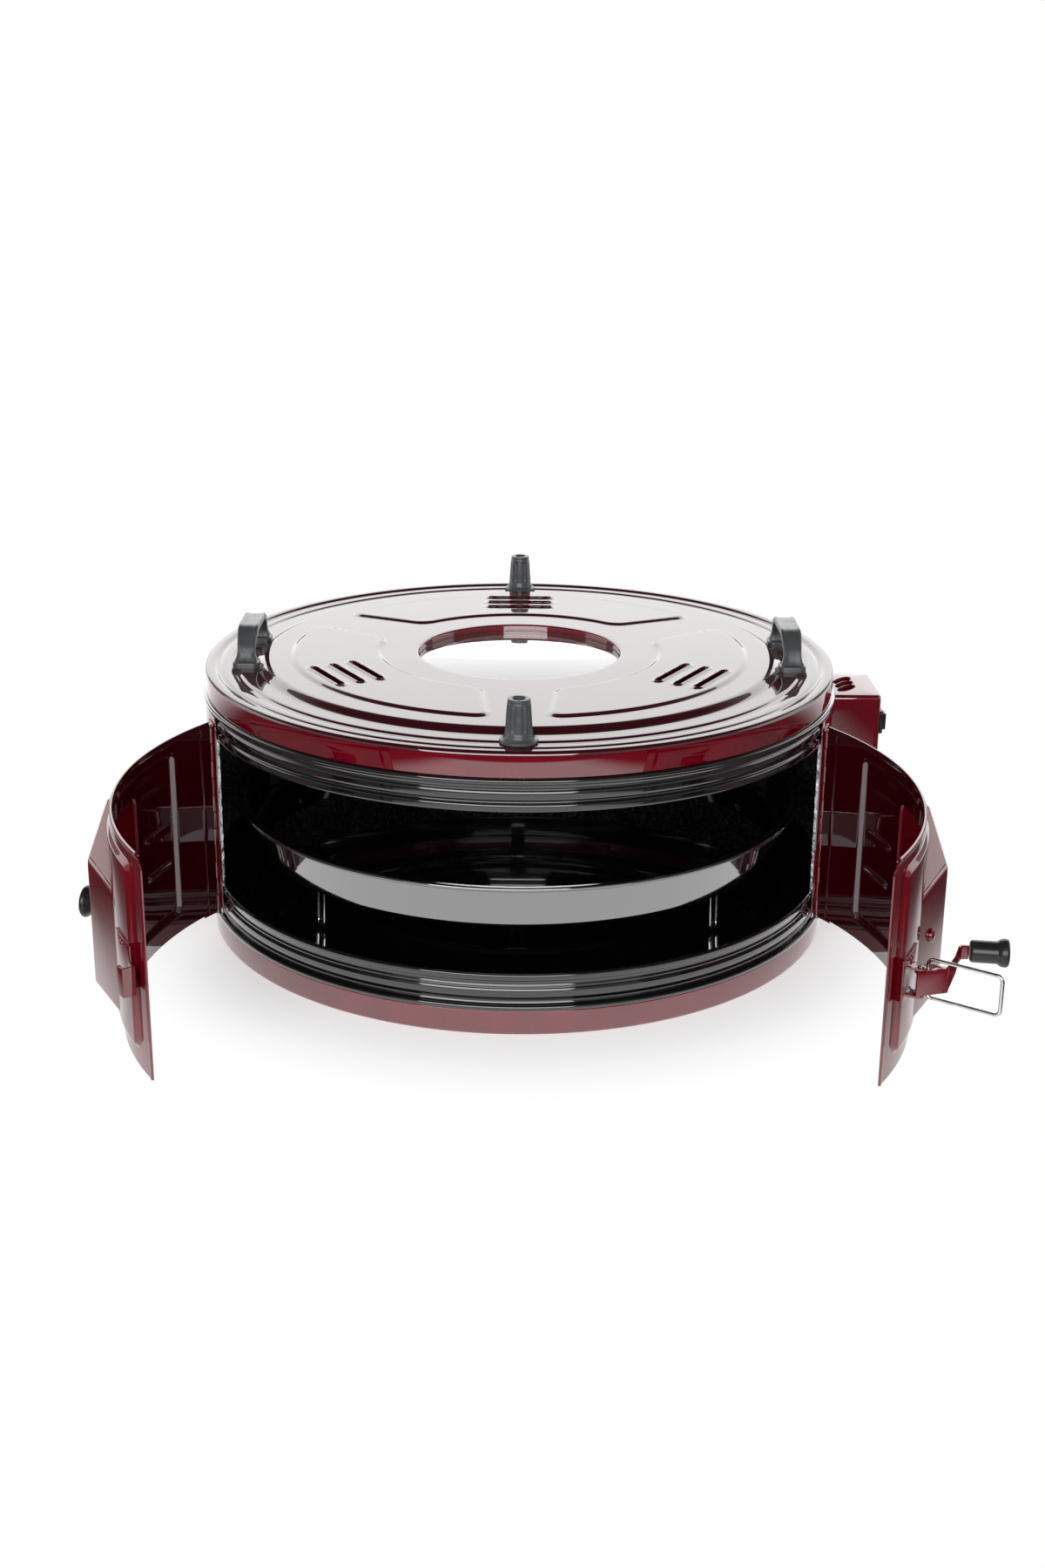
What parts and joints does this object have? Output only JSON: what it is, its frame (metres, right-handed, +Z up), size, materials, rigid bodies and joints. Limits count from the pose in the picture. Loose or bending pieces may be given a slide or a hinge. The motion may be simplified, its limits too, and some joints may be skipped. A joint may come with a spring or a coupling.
{
  "type": "round electric oven",
  "caption": "Round countertop electric oven: a sheet steel drum with a lift-off windowed lid, curved hinged front doors closed by a wire latch, and a tray on a stand.",
  "frame": {"origin": "centre of the base, on the surface that the oven stands on", "axes": "+Z up, -Y to the front where the doors open, +X to the side with the control box"},
  "size_m": [0.4939, 0.5057, 0.1932],
  "materials": {
    "red_paint": "gloss",
    "black_enamel": "gloss",
    "liner": "textured",
    "bright_trim": "bright",
    "hinge_steel": "satin",
    "element": "oxidised",
    "wire": "bright",
    "stand_wire": "bright",
    "black_plastic": "satin",
    "switch_plastic": "gloss",
    "gasket": "matte",
    "glass": "clear"
  },
  "bodies": {
    "drum": {"base_pan": "red_paint", "floor_pan": "black_enamel", "top_ring": "black_enamel", "rear_wall": "red_paint", "rear_liner": "liner", "edge_trims": "bright_trim", "upper_heating_element": "element", "element_hangers": "hinge_steel", "right_wall_hinge_leaf": "hinge_steel", "left_wall_hinge_leaf": "hinge_steel", "right_hinge_pin": "hinge_steel", "left_hinge_pin": "hinge_steel", "tray_stand": "stand_wire", "control_box": "red_paint", "cord_gland": "black_plastic", "switch_bezel": "switch_plastic"},
    "lid": {"lid_panel": "red_paint", "window_gasket": "gasket", "window_glass": "glass", "right_lid_handle": "black_plastic", "left_lid_handle": "black_plastic", "front_lid_peg": "black_plastic", "rear_lid_peg": "black_plastic"},
    "right_door": {"right_door_panel": "red_paint", "right_door_housing": "red_paint", "right_door_hinge_leaf": "red_paint", "housing_screw": "hinge_steel", "latch_base": "red_paint", "latch_pin": "hinge_steel"},
    "left_door": {"left_door_panel": "red_paint", "left_door_housing": "red_paint", "left_door_hinge_leaf": "red_paint", "left_door_knob": "black_plastic", "door_catch": "red_paint"},
    "lever": {"latch_lever": "red_paint", "lever_grip": "black_plastic"},
    "bail_loop": {"bail": "wire"},
    "tray_body": {"tray": "black_enamel"},
    "rocker": {"switch_rocker": "switch_plastic"}
  },
  "joints": [
    {"name": "lid_lift", "type": "slide", "parent": "drum", "child": "lid", "axis": [0, 0, 1], "range_m": [0, 0.12]},
    {"name": "right_door_hinge", "type": "hinge", "parent": "drum", "child": "right_door", "pos_m": [0.18662, -0.0773, 0.0835], "axis": [0, 0, 1], "range_deg": [-56.2, 25]},
    {"name": "left_door_hinge", "type": "hinge", "parent": "drum", "child": "left_door", "pos_m": [-0.18662, -0.0773, 0.0835], "axis": [0, 0, -1], "range_deg": [-56.2, 25]},
    {"name": "latch_lever_pivot", "type": "hinge", "parent": "right_door", "child": "lever", "pos_m": [0.20462, -0.28806, 0.078], "axis": [0, 0, -1], "range_deg": [-46, 10]},
    {"name": "bail_swing", "type": "hinge", "parent": "lever", "child": "bail_loop", "pos_m": [0.20946, -0.28301, 0.078], "axis": [0, 0, -1], "range_deg": [-10, 85]},
    {"name": "tray_slide", "type": "slide", "parent": "drum", "child": "tray_body", "axis": [0, -1, 0], "range_m": [0, 0.19]},
    {"name": "switch_rock", "type": "hinge", "parent": "drum", "child": "rocker", "pos_m": [0.2326, 0.006, 0.126], "axis": [0, 0, 1], "range_deg": [-16, 0]}
  ]
}
